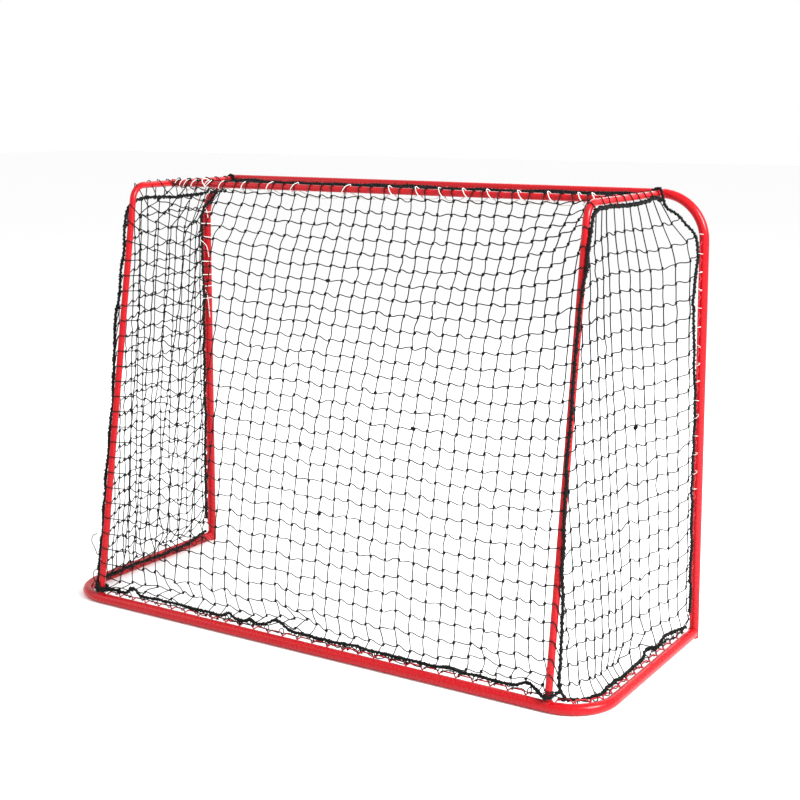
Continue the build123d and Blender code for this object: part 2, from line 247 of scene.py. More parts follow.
def paint(name, colour, roughness, orange_peel):
    """Glossy red paint on steel: a little uneven in tone, with orange peel and faint rubbed patches."""
    made, tree, shader, node = material(name)
    link = tree.links.new
    where = node("ShaderNodeTexCoord")
    tone = node("ShaderNodeTexNoise", Scale=9.0, Detail=5.0, Roughness=0.6)
    ramp = node("ShaderNodeValToRGB")
    ramp.color_ramp.elements[0].position, ramp.color_ramp.elements[1].position = 0.3, 0.72
    ramp.color_ramp.elements[0].color = (*[c * 0.93 for c in colour], 1)
    ramp.color_ramp.elements[1].color = (*colour, 1)
    link(where.outputs["Object"], tone.inputs["Vector"])
    link(tone.outputs["Fac"], ramp.inputs["Fac"])
    scuffs = node("ShaderNodeTexNoise", Scale=160.0, Detail=3.0, Roughness=0.55)
    patches = node("ShaderNodeMapRange")
    patches.inputs["From Min"].default_value, patches.inputs["From Max"].default_value = 0.35, 0.8
    patches.inputs["To Min"].default_value = roughness
    patches.inputs["To Max"].default_value = roughness + 0.2
    link(where.outputs["Object"], scuffs.inputs["Vector"])
    link(scuffs.outputs["Fac"], patches.inputs["Value"])
    link(patches.outputs["Result"], shader.inputs["Roughness"])
    peel = node("ShaderNodeTexNoise", Scale=420.0, Detail=2.0, Roughness=0.5)
    bump = node("ShaderNodeBump", Strength=orange_peel, Distance=0.0004)
    link(where.outputs["Object"], peel.inputs["Vector"])
    link(peel.outputs["Fac"], bump.inputs["Height"])
    link(bump.outputs["Normal"], shader.inputs["Normal"])
    link(ramp.outputs["Color"], shader.inputs["Base Color"])
    shader.inputs["Coat Weight"].default_value = 0.0
    shader.inputs["Specular IOR Level"].default_value = 0.22
    return made


def fibre(name, dark, light, pitch, strength):
    """Twisted cord: fine lay lines, fuzz and tone that changes along it."""
    made, tree, shader, node = material(name)
    link = tree.links.new
    where = node("ShaderNodeTexCoord")
    tone = node("ShaderNodeTexNoise", Scale=45.0, Detail=6.0, Roughness=0.7)
    ramp = node("ShaderNodeValToRGB")
    ramp.color_ramp.elements[0].position, ramp.color_ramp.elements[1].position = 0.35, 0.7
    ramp.color_ramp.elements[0].color = (*dark, 1)
    ramp.color_ramp.elements[1].color = (*light, 1)
    link(where.outputs["Object"], tone.inputs["Vector"])
    link(tone.outputs["Fac"], ramp.inputs["Fac"])
    link(ramp.outputs["Color"], shader.inputs["Base Color"])
    lay = node("ShaderNodeTexWave", Scale=pitch, Distortion=3.0, Detail=2.0)
    lay.bands_direction = "DIAGONAL"
    fuzz = node("ShaderNodeTexNoise", Scale=1400.0, Detail=2.0, Roughness=0.6)
    both = node("ShaderNodeMath", operation="ADD")
    link(where.outputs["Object"], lay.inputs["Vector"])
    link(where.outputs["Object"], fuzz.inputs["Vector"])
    link(lay.outputs["Fac"], both.inputs[0])
    link(fuzz.outputs["Fac"], both.inputs[1])
    bump = node("ShaderNodeBump", Strength=strength, Distance=0.0005)
    link(both.outputs["Value"], bump.inputs["Height"])
    link(bump.outputs["Normal"], shader.inputs["Normal"])
    shader.inputs["Roughness"].default_value = 0.78
    shader.inputs["Sheen Weight"].default_value = 0.03
    shader.inputs["Sheen Roughness"].default_value = 0.5
    shader.inputs["Specular IOR Level"].default_value = 0.15
    return made


TUBE_PAINT = paint("tube_paint", (0.38, 0.003, 0.007), 0.20, 0.04)
WIRE_PAINT = paint("wire_paint", (0.38, 0.003, 0.008), 0.28, 0.12)
WELD_PAINT = paint("weld_paint", (0.35, 0.003, 0.007), 0.32, 0.5)
TWINE = fibre("net_twine", (0.0012, 0.0014, 0.0014), (0.0040, 0.0046, 0.0044), 900.0, 0.5)
ROPE = fibre("net_rope", (0.0014, 0.0017, 0.0017), (0.0070, 0.0084, 0.0079), 700.0, 0.7)
WHITE = fibre("white_cord", (0.70, 0.69, 0.65), (0.86, 0.85, 0.82), 800.0, 0.6)
PLUG = fibre("plug_plastic", (0.02, 0.02, 0.02), (0.03, 0.03, 0.03), 300.0, 0.1)

CAD_FINISH = {
    "red_paint": TUBE_PAINT,
    "wire_paint": WIRE_PAINT,
    "weld_paint": WELD_PAINT,
    "plug_plastic": PLUG,
}
slots = {row["node"]: row["material_slot"] for row in frame["record"]["subparts"]}
for node_name, slot_name in slots.items():
    if slot_name in CAD_FINISH:
        solid = frame["nodes"][node_name]
        if not solid.material_slots:
            solid.data.materials.append(None)
        for material_slot in solid.material_slots:
            material_slot.material = CAD_FINISH[slot_name]

# ---- where the ropes lie
def rope_line(points, count, seed, size=0.002):
    """An evenly spaced line through points, wandering a little as a slack rope does."""
    line = smooth(points, count)
    offsets = wander(count, size, seed=seed)
    tangents = unit(np.gradient(line, axis=0))
    level = unit(np.cross(tangents, [0, 0, 1.0]) + [1e-9, 0, 0])
    upright = np.cross(level, tangents)
    fade = np.minimum(1, np.minimum(np.arange(count), np.arange(count)[::-1]) / 6)[:, None]
    return line + (level * offsets[:, :1] + upright * offsets[:, 1:]) * fade


# Where each seam rope runs beside its stay: height as a share of the stay, turn about the stay from
# straight outward towards the rear in degrees, and distance from the stay's axis in millimetres
SEAM_COURSE = {
    "right": ((0.04, -40, 27), (0.10, -25, 22), (0.20, -10, 17), (0.32, 35, 15), (0.5, 62, 14.5),
              (0.75, 60, 14.5), (0.88, 30, 14.5), (0.955, 5, 15)),
    "left": ((0.04, 5, 17), (0.12, 0, 16), (0.30, 8, 16), (0.47, 0, 17), (0.58, 5, 22),
             (0.70, 0, 26), (0.80, 10, 19), (0.88, 40, 15), (0.935, 45, 14.5)),
}

# The same rope forward under the depth bar: share of the way back from the mouth, and dip in metres
SEAM_TOP = (
    (0.985, 0.012), (0.93, 0.001), (0.8, -0.001), (0.62, 0.002), (0.45, 0.003), (0.28, 0.0), (0.1, -0.005)
)
SEAM_TOP_LIFT = {"left": 0.0, "right": 0.007}


def seam_points(side):
    """The route of a seam rope: up the outside of the stay, then forward under the depth bar."""
    sign, points = SIDES[side], []
    for share, turn, reach in SEAM_COURSE[side]:
        z = share * CROSSBAR_Z
        out, back = math.cos(math.radians(turn)), math.sin(math.radians(turn))
        points.append((sign * (STAY_X + out * reach / 1000), stay_y(z) + back * reach / 1000, z))
    z, front = SEAM_Z[side], MOUTH_ROPE_Y + ROPE_R
    for share, dip in SEAM_TOP:
        height = z - (dip - SEAM_TOP_LIFT[side])
        points.append((sign * SEAM_X, front + (STAY_TOP_Y - front) * share, height))
    points.append((sign * (SEAM_X - 0.004), front, z + 0.004))
    return points


BEND = BASE_BEND - (HALF_WIDTH - SIDE_ROPE_X)  # radius of the border rope's turn round a rear corner
seam_lines = {side: rope_line(seam_points(side), 420, 3 + SIDES[side], 0.0012) for side in SIDES}


def corner_point(sign, turn, height, reach=BEND):
    """A point on the rope's turn round a rear corner: 0 degrees at the side, 90 at the back."""
    turn = math.radians(turn)
    x = HALF_WIDTH - BASE_BEND + reach * math.cos(turn)
    return (sign * x, REAR_Y - BASE_BEND + reach * math.sin(turn), height)


# Humps in the rope along each side of the base: share of the way back, how far in, and rise, in metres
SIDE_HUMPS = {
    "right": ((0.18, 0.0, 0.012), (0.30, 0.002, 0.0), (0.43, 0.0, 0.018), (0.52, 0.0, 0.002),
              (0.72, 0.0, 0.0), (0.9, 0.0, 0.004)),
    "left": ((0.25, 0.0, 0.004), (0.5, 0.0, 0.0), (0.75, 0.0, 0.004)),
}


def side_border_points(side):
    """From the foot of the post back along the base and round to the foot of the stay."""
    sign, z = SIDES[side], SIDE_ROPE_Z
    front = MOUTH_ROPE_Y + 0.008
    length = ROPE_Y - BEND - front
    points = [(sign * (POST_ROPE_X - 0.004), front, z + 0.012)]
    for share, inward, rise in SIDE_HUMPS[side]:
        points.append((sign * (SIDE_ROPE_X - inward), front + share * length, z + rise))
    points += [corner_point(sign, turn, z - 0.002 * (turn == 45)) for turn in (5, 25, 45, 65, 82)]
    points.append((sign * (STAY_X + 0.030), REAR_Y - BASE_BEND + BEND, z + 0.003))
    points.append(tuple(seam_lines[side][0]))
    return points


# Humps in the rope along the rear bar: place across the goal, width and height, in metres
REAR_HUMPS = ((0.595, 0.014, 0.019), (0.255, 0.012, 0.012), (0.182, 0.012, 0.008), (0.098, 0.03, 0.022),
              (-0.15, 0.02, 0.004), (-0.42, 0.02, 0.006), (-0.63, 0.018, 0.012))


def rear_border_line(count=360):
    """Along the rear bar, with humps where the rope is slack."""
    x = np.linspace(STAY_X - 0.02, -STAY_X + 0.02, count)
    z = np.full(count, ROPE_Z)
    for place, width, height in REAR_HUMPS:
        z += height * np.exp(-(((x - place) / width) ** 2))
    offsets = wander(count, 0.0014, step=12, seed=21)
    line = np.stack([x, ROPE_Y + offsets[:, 0], z + np.abs(offsets[:, 1])], axis=1)
    ends = {}
    for side, sign in SIDES.items():  # each end passes behind the stay's foot to the seam rope
        foot_y = stay_y(ROPE_Z)
        over = STAY_R + ROPE_R + 0.001
        ends[side] = [(sign * (STAY_X - 0.75 * over), foot_y + 0.66 * over, ROPE_Z + 0.002),
                      (sign * STAY_X, foot_y + over, ROPE_Z + 0.001),
                      (sign * (STAY_X + 0.8 * over), foot_y + 0.6 * over, ROPE_Z + 0.004),
                      tuple(seam_lines[side][0])]
    return smooth([*ends["left"][::-1], *line[4:-4:4], *ends["right"]], count)


MOUTH_BEND = 0.118  # radius of the mouth frame's axis at an upper corner
LEG_SHARES = (0.04, 0.17, 0.34, 0.5, 0.66, 0.84, 0.97)  # places up the straight part of a post
LEG_BOWS = {  # how far in the rope bows at those places, in metres
    "right": (0.0, 0.0, 0.001, 0.0, 0.002, 0.012, 0.002),
    "left": (0.0, 0.0, 0.002, 0.001, 0.003, 0.004, 0.002),
}
CORNER_DROOP = {"right": 0.022, "left": 0.014}
TOP_SAGS = ((-0.45, 0.002), (-0.2, 0.003), (0.1, 0.001), (0.4, 0.003))  # place across, and sag, in metres


def mouth_rope_points():
    """Up the right post, round under the crossbar and down the left post, drooping a little."""
    arc = CROSSBAR_Z - MOUTH_BEND
    reach = POST_ROPE_X - (HALF_WIDTH - MOUTH_BEND)
    points = []
    for side in ("right", "left"):
        sign = SIDES[side]
        leg = []
        for share, bow in zip(LEG_SHARES, LEG_BOWS[side]):
            leg.append((sign * (POST_ROPE_X - bow), MOUTH_ROPE_Y, share * arc + (1 - share) * ROPE_Z))
        for turn in (12, 33, 55, 72):
            t = math.radians(turn)
            drop = CORNER_DROOP[side] * math.sin(2 * t) + 0.010 * t
            leg.append((sign * (HALF_WIDTH - MOUTH_BEND + (reach - drop) * math.cos(t)), MOUTH_ROPE_Y,
                        arc + (TOP_ROPE_Z - arc - drop) * math.sin(t)))
        over = CROSSBAR_Z + STAY_R + ROPE_R + 0.0008  # then over the depth bar, close behind the crossbar
        leg += [(sign * (STAY_X + 0.012), MOUTH_ROPE_Y, TOP_ROPE_Z + 0.002),
                (sign * (STAY_X + 0.004), MOUTH_Y + 0.024, over),
                (sign * (STAY_X - 0.008), MOUTH_Y + 0.023, over - 0.001),
                (sign * (STAY_X - 0.022), MOUTH_ROPE_Y, TOP_ROPE_Z + 0.003),
                (sign * (STAY_X - 0.050), MOUTH_ROPE_Y, TOP_ROPE_Z)]
        points.append(leg if side == "right" else leg[::-1])
    middle = [(x, MOUTH_ROPE_Y, TOP_ROPE_Z - sag) for x, sag in TOP_SAGS]
    return points[0] + middle + points[1]


rear_line = rear_border_line()
side_lines = {side: rope_line(side_border_points(side), 300, 31 + SIDES[side], 0.0012) for side in SIDES}
mouth_line = rope_line(mouth_rope_points(), 900, 41, 0.0012)


def crossing(line, axis, value, choose=None):
    """The point of a line where a coordinate reaches a value."""
    values = line[:, axis]
    hits = np.where((values[:-1] - value) * (values[1:] - value) <= 0)[0]
    if choose is not None:
        hits = [h for h in hits if choose(line[h])]
    if len(hits) == 0:
        return line[np.argmin(np.abs(values - value))]
    h = hits[0]
    share = (value - values[h]) / (values[h + 1] - values[h] + 1e-12)
    return line[h] + (line[h + 1] - line[h]) * share


# ---- the net as knots and bars
knots = []  # places, before the net is let hang
fixed = []
bars = []  # (knot, knot, panel, kind, via points)
panel_knots = {"back": [], "top": [], "left": [], "right": []}


def knot(place, hold=False, panel=None):
    knots.append(np.array(place, float))
    fixed.append(hold)
    if panel:
        panel_knots[panel].append(len(knots) - 1)
    return len(knots) - 1


def bar(a, b, panel, kind, via=()):
    """A length of twine between two knots. via holds the points where it bends over a tube."""
    bars.append((a, b, panel, kind, [np.array(p, float) for p in via]))


COLUMNS = round(2 * STAY_X / MESH)
PITCH = 2 * STAY_X / COLUMNS
column_x = (np.arange(COLUMNS) + 0.5) * PITCH - STAY_X
FOOT = (ROPE_Y, ROPE_Z)
OVER = STAY_R + TWINE_R + 0.0004  # from a thin tube's axis to twine lying on it
FOLD = 0.97  # height where the middle of the back panel starts to lean in to the rear top bar
ROWS = 30  # openings from the base to the rear top bar
TOP_LENGTH = BAR_Y - MOUTH_ROPE_Y
TOP_ROWS = round(TOP_LENGTH / PITCH)
EDGE_REACH = 0.11  # how far in from a stay the panel still follows the stay
SAG_AT_FOOT = 0.005

# The axis of a stay, and the panel's line beside the stays and midway between them, as (y, z)
bend_turns = np.radians(np.linspace(8, 90, 8))
bend_y, bend_z = STAY_TOP_Y - STAY_BEND * 0.86, CROSSBAR_Z - STAY_BEND
straight_part = [(stay_y(z), z) for z in np.linspace(ROPE_Z, bend_z, 60)]
bent_part = [(bend_y + STAY_BEND * math.cos(t), bend_z + STAY_BEND * math.sin(t)) for t in bend_turns]
level_part = [(y, CROSSBAR_Z) for y in np.linspace(bend_y - 0.01, BAR_Y, 20)]
stay_axis = np.array(straight_part + bent_part + level_part)
edge_line = even(np.c_[np.zeros(len(stay_axis)), stay_axis], 400)[:, 1:]
middle_line = even([(0, *FOOT), (0, stay_y(0.7) - 0.012, 0.7), (0, stay_y(FOLD) - 0.022, FOLD),
                    (0, BAR_Y + OVER, BAR_Z)], 400)[:, 1:]


def along_line(line, length):
    """The point of an even (y, z) line at a length from its start."""
    return at_length(line, line_length(line) * np.linspace(0, 1, len(line)), length)


EDGE_LENGTH, MIDDLE_LENGTH = line_length(edge_line), line_length(middle_line)


def back_place(x, share):
    """A knot of the back panel: near a stay it follows the stay, and between them it hangs lower."""
    edge = along_line(edge_line, share * EDGE_LENGTH)
    spare = EDGE_LENGTH - MIDDLE_LENGTH
    sag = SAG_AT_FOOT + (spare - SAG_AT_FOOT) * share**1.9
    middle = along_line(middle_line, max(0.004, share * EDGE_LENGTH - sag))
    near = math.exp(-(STAY_X - abs(x)) / EDGE_REACH)
    y, z = near * edge + (1 - near) * middle
    return (x, y, z)


def wrap(side, place):
    """Where a row bends over a stay or a depth bar: points behind it and beside it, and the axis there."""
    sign = SIDES[side]
    at = int(np.argmin(np.linalg.norm(stay_axis - [place[1], place[2]], axis=1)))
    at = min(max(at, 1), len(stay_axis) - 2)
    run = stay_axis[at + 1] - stay_axis[at - 1]
    length = np.linalg.norm(run)
    out = np.array([run[1], -run[0]]) / length
    past = (np.array(place[1:]) - stay_axis[at]) @ run / length
    centre = stay_axis[at] + run / length * past
    points = []
    for inward, lift in ((0.003, 1.0), (-0.6 * OVER, 0.8)):
        y, z = centre + out * OVER * lift
        points.append((sign * (STAY_X - inward), y, z))
    return points, np.array([sign * SEAM_X, *centre])


TIE_DROP = {"left": 0.065, "right": 0.042}  # rows reach the seam rope this far below the stay's crossing

grid = {}
for i, x in enumerate(column_x):
    for j in range(ROWS + TOP_ROWS):
        if j < ROWS:
            place = back_place(x, (j + 0.5) / ROWS)
            panel = "back"
        else:
            share = (j - ROWS + 0.5) / TOP_ROWS
            z = BAR_Z + OVER + (TOP_ROPE_Z + 0.004 - BAR_Z - OVER) * share
            place = (x, BAR_Y - TOP_LENGTH * share, z)
            panel = "top"
        grid[i, j] = knot(place, panel=panel)

for i in range(COLUMNS):
    x = column_x[i]
    drift = 0.3 * PITCH if x > -0.3 else 0.0  # the rope's ties lie to the left of the columns
    foot = crossing(rear_line[20:-20], 0, min(x + drift, STAY_X - 0.022))
    bar(knot(foot, True), grid[i, 0], "back", "up")
    for j in range(ROWS + TOP_ROWS - 1):
        if j == ROWS - 1:
            lean = 0.006 * rng.normal()
            crest = knot((x + lean, BAR_Y + 0.2 * OVER, BAR_Z + 0.98 * OVER), True)
            bar(grid[i, j], crest, "back", "over", [(x + lean, BAR_Y + 0.9 * OVER, BAR_Z + 0.43 * OVER)])
            bar(crest, grid[i, j + 1], "top", "over", [(x + lean, BAR_Y - 0.5 * OVER, BAR_Z + 0.87 * OVER)])
        else:
            bar(grid[i, j], grid[i, j + 1], "back" if j < ROWS else "top", "up" if j < ROWS else "along")
    edge = crossing(mouth_line, 0, x)
    bar(grid[i, ROWS + TOP_ROWS - 1], knot(edge, True), "top", "along")

for j in range(ROWS + TOP_ROWS):
    panel = "back" if j < ROWS else "top"
    for i in range(COLUMNS - 1):
        bar(grid[i + 1, j], grid[i, j], panel, "row")
    for side, i in (("left", COLUMNS - 1), ("right", 0)):
        sign = SIDES[side]
        place = knots[grid[i, j]]
        if j < ROWS:
            fade = min(1.0, max(0.0, (1.08 - place[2]) / 0.1), place[2] / 0.15)
            via, beside = wrap(side, place - [0, 0, TIE_DROP[side] / 2 * fade])
            drop = TIE_DROP[side] * min(1.0, max(0.2, (1.0 - place[2]) / 0.12))
            end = closest(seam_lines[side], beside - [0, 0, drop])
        else:
            y = place[1]
            end = crossing(seam_lines[side], 1, y - 0.012, lambda p: p[2] > BAR_Z - 0.12)
            via = [(sign * (STAY_X - 0.5 * OVER), y, CROSSBAR_Z + 0.87 * OVER),
                   (sign * (STAY_X + 0.5 * OVER), y - 0.002, CROSSBAR_Z + 0.87 * OVER),
                   (sign * (STAY_X + OVER), y - 0.004, CROSSBAR_Z)]
        edge = knot(end, True)
        if side == "left":
            bar(edge, grid[i, j], panel, "wrap", via[::-1])
        else:
            bar(grid[i, j], edge, panel, "wrap", via)


# Side panels: columns stand between the base and the seam, rows run from the mouth to the stay
ROW_DIP = {"left": (0.045, 0.10), "right": (0.034, 0.06)}  # a row's dip at the stay, and its length
POST_RISE = 0.012  # a row climbs this far at the post


def build_side(side):
    """The knots and bars of one side panel, row by row from the base up."""
    sign = SIDES[side]
    seam = seam_lines[side]
    heights = np.arange(ROPE_Z + 0.7 * SIDE_MESH, SEAM_Z[side] - 0.012, SIDE_MESH * 0.98)
    rope = mouth_line[mouth_line[:, 0] * sign > 0]
    base = side_lines[side]
    rows = []
    dip, fade = ROW_DIP[side]
    for z in heights:
        droop = dip * min(1.0, z / 0.3)
        front = crossing(rope, 2, min(z + POST_RISE, SEAM_Z[side]), lambda p: p[2] < CROSSBAR_Z - 0.02)
        back = crossing(seam, 2, min(z - droop, SEAM_Z[side] - 0.02), lambda p: p[1] > 0.06)
        fullness = max(0.0, 1 - z / (CROSSBAR_Z - 0.25)) * 0.9
        shape = [front]
        for share, turn in ((0.35, 0), (0.62, 0), (0.78, 25), (0.92, 55)):
            straight = front + (back - front) * share
            if turn == 0:
                bulge = np.array([sign * SIDE_ROPE_X, straight[1], z])
            else:
                bulge = np.array(corner_point(sign, turn, z))
                bulge[1] -= REAR_Y - stay_y(z)
            shape.append(straight + (bulge - straight) * fullness)
        shape.append(back)
        line = smooth(shape, 60)
        gone = np.linspace(0, 1, 60) * np.linalg.norm(back - front)
        line[:, 2] = z + POST_RISE * np.exp(-gone / 0.05) - droop * np.exp(-(gone[-1] - gone) / fade)
        along = lengths_along(line)
        gaps = np.where(np.arange(24) < 8, SIDE_MESH, GATHERED)
        places = np.cumsum(gaps) - 0.4 * SIDE_MESH
        places = places[places < line_length(line) - 0.010]
        rows.append((front, back, [at_length(line, along, place) for place in places]))
    made = {}
    for r, (front, back, places) in enumerate(rows):
        for c, place in enumerate(places):
            made[c, r] = knot(place, panel=side)
        ends = (knot(front, True), knot(back, True))
        chain = [ends[0], *[made[c, r] for c in range(len(places))], ends[1]]
        for a, b in zip(chain[:-1], chain[1:]):
            if side == "right":
                bar(b, a, side, "row")
            else:
                bar(a, b, side, "row")
    columns = max(c for c, r in made) + 1
    for c in range(columns):
        mine = sorted(r for k, r in made if k == c)
        for r in mine[:-1]:
            if (c, r + 1) in made:
                bar(made[c, r], made[c, r + 1], side, "up")
        lowest, highest = knots[made[c, mine[0]]], knots[made[c, mine[-1]]]
        nearest = base[np.argmin(np.linalg.norm(base[:, :2] - lowest[:2], axis=1))]
        bar(knot(nearest, True), made[c, mine[0]], side, "up")
        if mine[-1] == len(rows) - 1:
            top = crossing(seam, 1, highest[1] - 0.004, lambda p: p[2] > SEAM_Z[side] - 0.06)
        else:
            top = closest(seam, highest + [0, 0, 0.8 * SIDE_MESH])
        bar(made[c, mine[-1]], knot(top, True), side, "up")


for side in SIDES:
    build_side(side)


# ---- letting the net hang
def hang(places, held, first, second, reach, steps, passes):
    """Knots under their own weight, tied by twine that can't stretch. Each knot answers its bars."""
    now, before = places.copy(), places.copy()
    count = len(now)
    valence = np.bincount(first, minlength=count) + np.bincount(second, minlength=count)
    give = np.where(held, 0.0, 1.0)
    drop = np.array([0, 0, -0.00003])
    for _ in range(steps):
        moved = (now - before) * 0.94
        before = now.copy()
        now = now + (moved + drop) * give[:, None]
        for _ in range(passes):
            apart = now[second] - now[first]
            length = np.linalg.norm(apart, axis=1)
            excess = np.where(length > reach, length - reach, np.minimum(length - 0.86 * reach, 0))
            share = give[first] + give[second]
            push = apart * (excess / np.maximum(length, 1e-9) / np.maximum(share, 1e-9))[:, None]
            for axis in range(3):
                change = np.bincount(first, push[:, axis], count) - np.bincount(second, push[:, axis], count)
                now[:, axis] += give * change / np.maximum(valence, 1) * 1.6
        now[:, 2] = np.maximum(now[:, 2], 0.02)
    return now


places = np.array(knots)
held = np.array(fixed)
first = np.array([b[0] for b in bars])
second = np.array([b[1] for b in bars])
# Length of a bar of twine over the room it has, by panel and kind
SLACK = {("back", "row"): 1.006, ("back", "up"): 1.012, ("top", "row"): 1.0, ("top", "along"): 1.0,
         ("left", "row"): 1.022, ("right", "row"): 1.022, ("left", "up"): 1.012, ("right", "up"): 1.012}
slack = np.array([SLACK.get((panel, kind), 1.002) for _, _, panel, kind, _ in bars])
loose = np.clip(rng.normal(1.0, 0.02, len(bars)), 0.96, 1.05)
straight = np.linalg.norm(places[second] - places[first], axis=1)
reach = straight * loose * slack
stir = rng.normal(0, 0.0016, places.shape) * ~held[:, None]
places = hang(places + stir, held, first, second, reach, 220, 24)

# ---- drawing twine, knots and ties
NORMAL = {
    "back": unit(np.array([0, 1.0, 0.152])),
    "top": np.array([0, 0, 1.0]),
    "left": np.array([1.0, 0, 0]),
    "right": np.array([-1.0, 0, 0]),
}
shapes = {panel: Shape() for panel in NORMAL}
ROW_STEPS = np.array([0, 0.1, 0.24, 0.42, 0.6, 0.78, 0.92, 1.0])
UP_STEPS = np.array([0, 0.2, 0.5, 0.8, 1.0])
KNOT_RISE = 0.0021  # a row leaves a knot this far above where the row before came in


def twine_path(a, b, panel, kind):
    """A bar's line from knot a to knot b, with its spare length as a wave."""
    start, end = places[a].copy(), places[b].copy()
    chord = np.linalg.norm(end - start)
    mesh = SIDE_MESH if panel in SIDES else PITCH
    spare = max(0.0005, min(0.003, 1.03 * mesh - chord)) if kind != "wrap" else 0.001
    across = unit(np.cross(NORMAL[panel], end - start))
    if across[2] < 0:
        across = -across
    t = (ROW_STEPS if kind == "row" else UP_STEPS)[:, None]
    if kind == "row":
        size = math.sqrt(chord * spare) / math.pi * rng.uniform(0.55, 1.15)
        flip = -1 if rng.random() < 0.12 else 1
        start[2] += KNOT_RISE * flip * (not held[a])
        end[2] -= KNOT_RISE * flip * (not held[b])
        wave = np.sin(2 * math.pi * t**0.8) * size * flip
        bow = np.sin(math.pi * t) * size * rng.normal(0, 0.5)
    else:
        size = math.sqrt(chord * spare) * 2 / math.pi * rng.uniform(0.1, 0.5)
        wave = np.sin(math.pi * t) * size * rng.choice([-1, 1])
        bow = np.sin(2 * math.pi * t) * size * rng.normal(0, 0.35)
    out = NORMAL[panel] * np.sin(math.pi * t) * size * rng.normal(0, 0.5)
    return start + (end - start) * t + across * (wave + bow) + out


def tie_ring(shape, place, tangent, radius, turns=1.25):
    """Twine wound round a rope at a place."""
    tangent = unit(tangent)
    side = unit(np.cross(tangent, [0.31, 0.17, 0.93]))
    other = np.cross(tangent, side)
    t = np.linspace(0, turns * 2 * math.pi, 11)[:, None] + rng.uniform(0, 6)
    run = tangent * np.linspace(-0.0022, 0.0022, 11)[:, None]
    tubes(shape, place + (side * np.cos(t) + other * np.sin(t)) * radius + run, TWINE_R, 4)


groups = {}  # bars with the same number of points, drawn together
for a, b, panel, kind, via in bars:
    if via:
        route = [places[a], *via, places[b]]
        tubes(shapes[panel], smooth(route, 11)[None], TWINE_R, 5)
    else:
        groups.setdefault((panel, kind == "row"), []).append(twine_path(a, b, panel, kind))
for (panel, _), lines in groups.items():
    tubes(shapes[panel], np.array(lines), TWINE_R * rng.uniform(0.92, 1.12, (len(lines), 1)), 5)


def knot_loops(centres, panel):
    """Small trefoils of twine, one at each knot, taller than wide and each turned its own way."""
    t = np.arange(10) / 10 * 2 * math.pi
    flat = np.stack([np.sin(t) + 2 * np.sin(2 * t), np.cos(t) - 2 * np.cos(2 * t), -np.sin(3 * t)], axis=1)
    count = len(centres)
    turns = rng.uniform(0, 2 * math.pi, count)
    cos, sin = np.cos(turns)[:, None], np.sin(turns)[:, None]
    size = rng.uniform(0.00075, 0.00095, (count, 1))
    x = (flat[:, 0] * cos - flat[:, 1] * sin) * size
    y = (flat[:, 0] * sin + flat[:, 1] * cos) * size * 1.45
    z = flat[:, 2][None] * size * 1.3
    n = NORMAL[panel]
    up = np.array([0, 0, 1.0]) if panel != "top" else np.array([0, 1.0, 0])
    level = unit(np.cross(up, n))
    up = np.cross(n, level)
    loops = centres[:, None] + x[..., None] * level + y[..., None] * up + z[..., None] * n
    tubes(shapes[panel], loops, TWINE_R * 1.6, 4, closed=True)


for panel, members in panel_knots.items():
    knot_loops(places[members], panel)

MENDS = (("back", (-0.236, 0.2, 0.573)), ("back", (0.073, 0.16, 0.969)), ("back", (0.092, 0.22, 0.502)),
         ("back", (0.010, 0.23, 0.351)), ("right", (-0.76, -0.02, 0.615)))
for panel, place in MENDS:  # mended meshes: a bigger knot and a doubled bar
    nearest = min(panel_knots[panel], key=lambda k: np.linalg.norm(places[k] - place))
    for offset in rng.normal(0, 0.0016, (3, 3)):
        t = np.linspace(0, 2 * math.pi, 9)[:-1]
        ring = np.stack([np.cos(t), 0.4 * np.sin(2 * t), np.sin(t)], axis=1) * 0.0032
        tubes(shapes[panel], (places[nearest] + offset + ring)[None], TWINE_R * 1.3, 5, closed=True)


# ---- ropes
def twist(shape, line, radius, pitch, strands=3, seed=0, sides=5):
    """A laid rope: strands that wind round each other along a line."""
    count = max(8, int(line_length(line) / pitch * 7))
    line = even(line, count)
    tangents = unit(np.gradient(line, axis=0))
    across = unit(np.cross(tangents[0], [0.13, 0.29, 0.95]))
    frames = np.empty_like(line)
    for k in range(count):
        across = unit(across - (across @ tangents[k]) * tangents[k])
        frames[k] = across
    others = np.cross(tangents, frames)
    source = np.random.default_rng(seed)
    marks = max(4, count // 9)
    uneven = np.interp(np.arange(count), np.linspace(0, count, marks), source.uniform(0.88, 1.12, marks))
    phase = np.arange(count) / 7 * 2 * math.pi
    lines = []
    for strand in range(strands):
        turn = (phase + strand * 2 * math.pi / strands)[:, None]
        off = frames * np.cos(turn) + others * np.sin(turn)
        lines.append(line + off * (0.45 * radius * uneven)[:, None])
    tubes(shape, np.array(lines), 0.56 * radius * uneven, sides)


def bind(shape, line, radius, pitch, seed):
    """Thin twine wound unevenly round a rope, with ends that stick out."""
    source = np.random.default_rng(seed)
    count = int(line_length(line) / pitch * 8)
    line = even(line, count)
    tangents = unit(np.gradient(line, axis=0))
    across = unit(np.cross(tangents, [0.23, 0.31, 0.92]))
    others = np.cross(tangents, across)
    turn = np.cumsum(source.uniform(0.6, 1.4, count)) * 2 * math.pi / 8
    swell = 1 + 0.12 * source.normal(0, 1, count)[:, None] * (source.random(count) < 0.3)[:, None]
    off = across * np.cos(turn[:, None]) + others * np.sin(turn[:, None])
    tubes(shape, line + off * radius * swell, TIE_R, 4)


